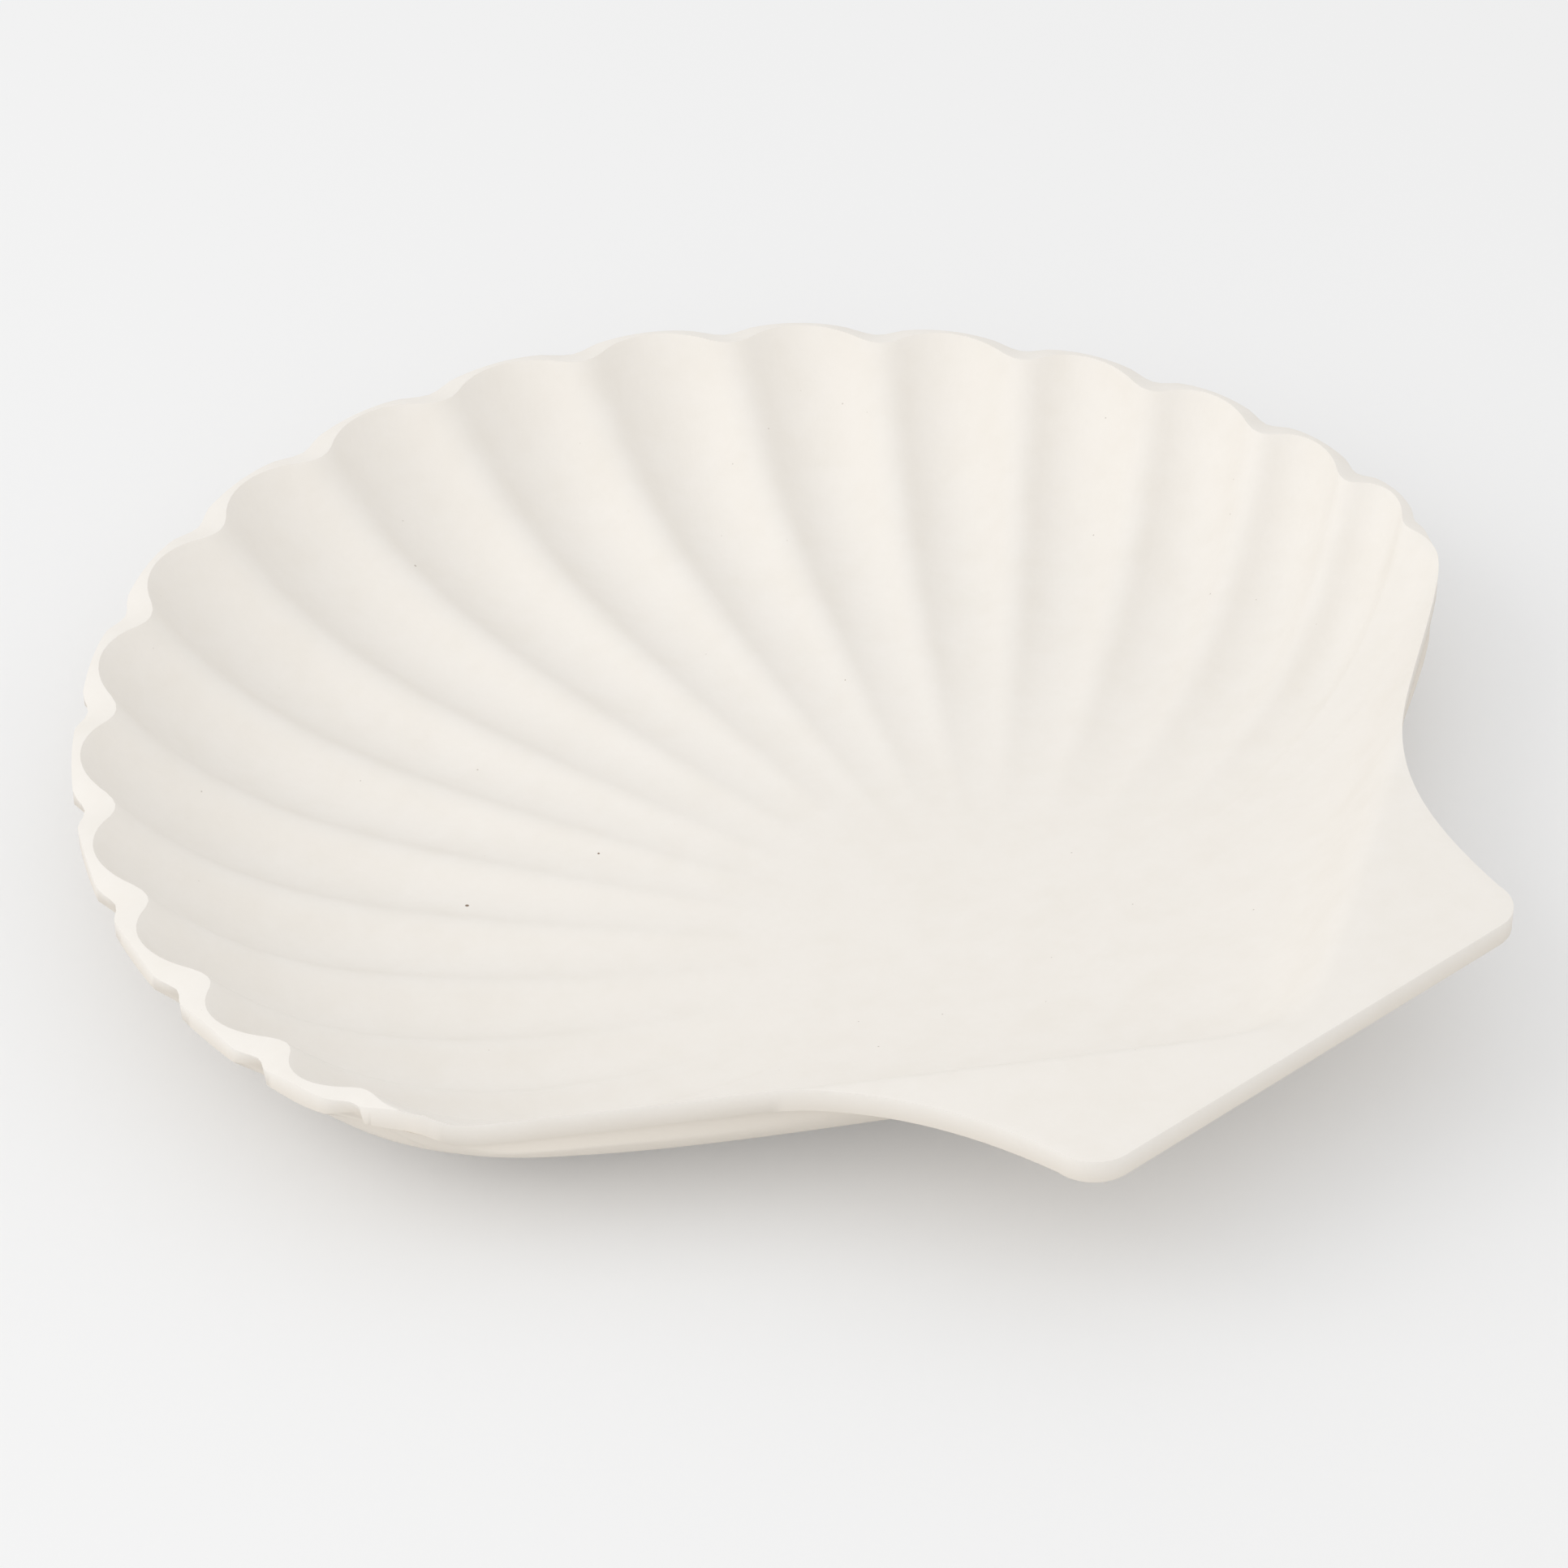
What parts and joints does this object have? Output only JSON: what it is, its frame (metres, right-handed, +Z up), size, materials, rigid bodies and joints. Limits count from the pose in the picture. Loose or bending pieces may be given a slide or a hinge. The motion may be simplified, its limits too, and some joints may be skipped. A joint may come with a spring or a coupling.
{
  "type": "shell shaped platter",
  "caption": "Shallow one-piece serving platter shaped like a scallop shell, with fanned flutes, a scalloped rim and a flat back plate with two ears.",
  "frame": {"origin": "under the middle of the rim circle, on the plane of the flat foot", "axes": "+Z up out of the bowl, +Y from the straight back edge towards the far rim, X across the dish, which is the same on either side of X = 0"},
  "size_m": [0.3446, 0.3341, 0.0408],
  "materials": {
    "off_white_ceramic": "matte"
  },
  "bodies": {
    "root": {"shell_platter": "off_white_ceramic"}
  },
  "joints": []
}
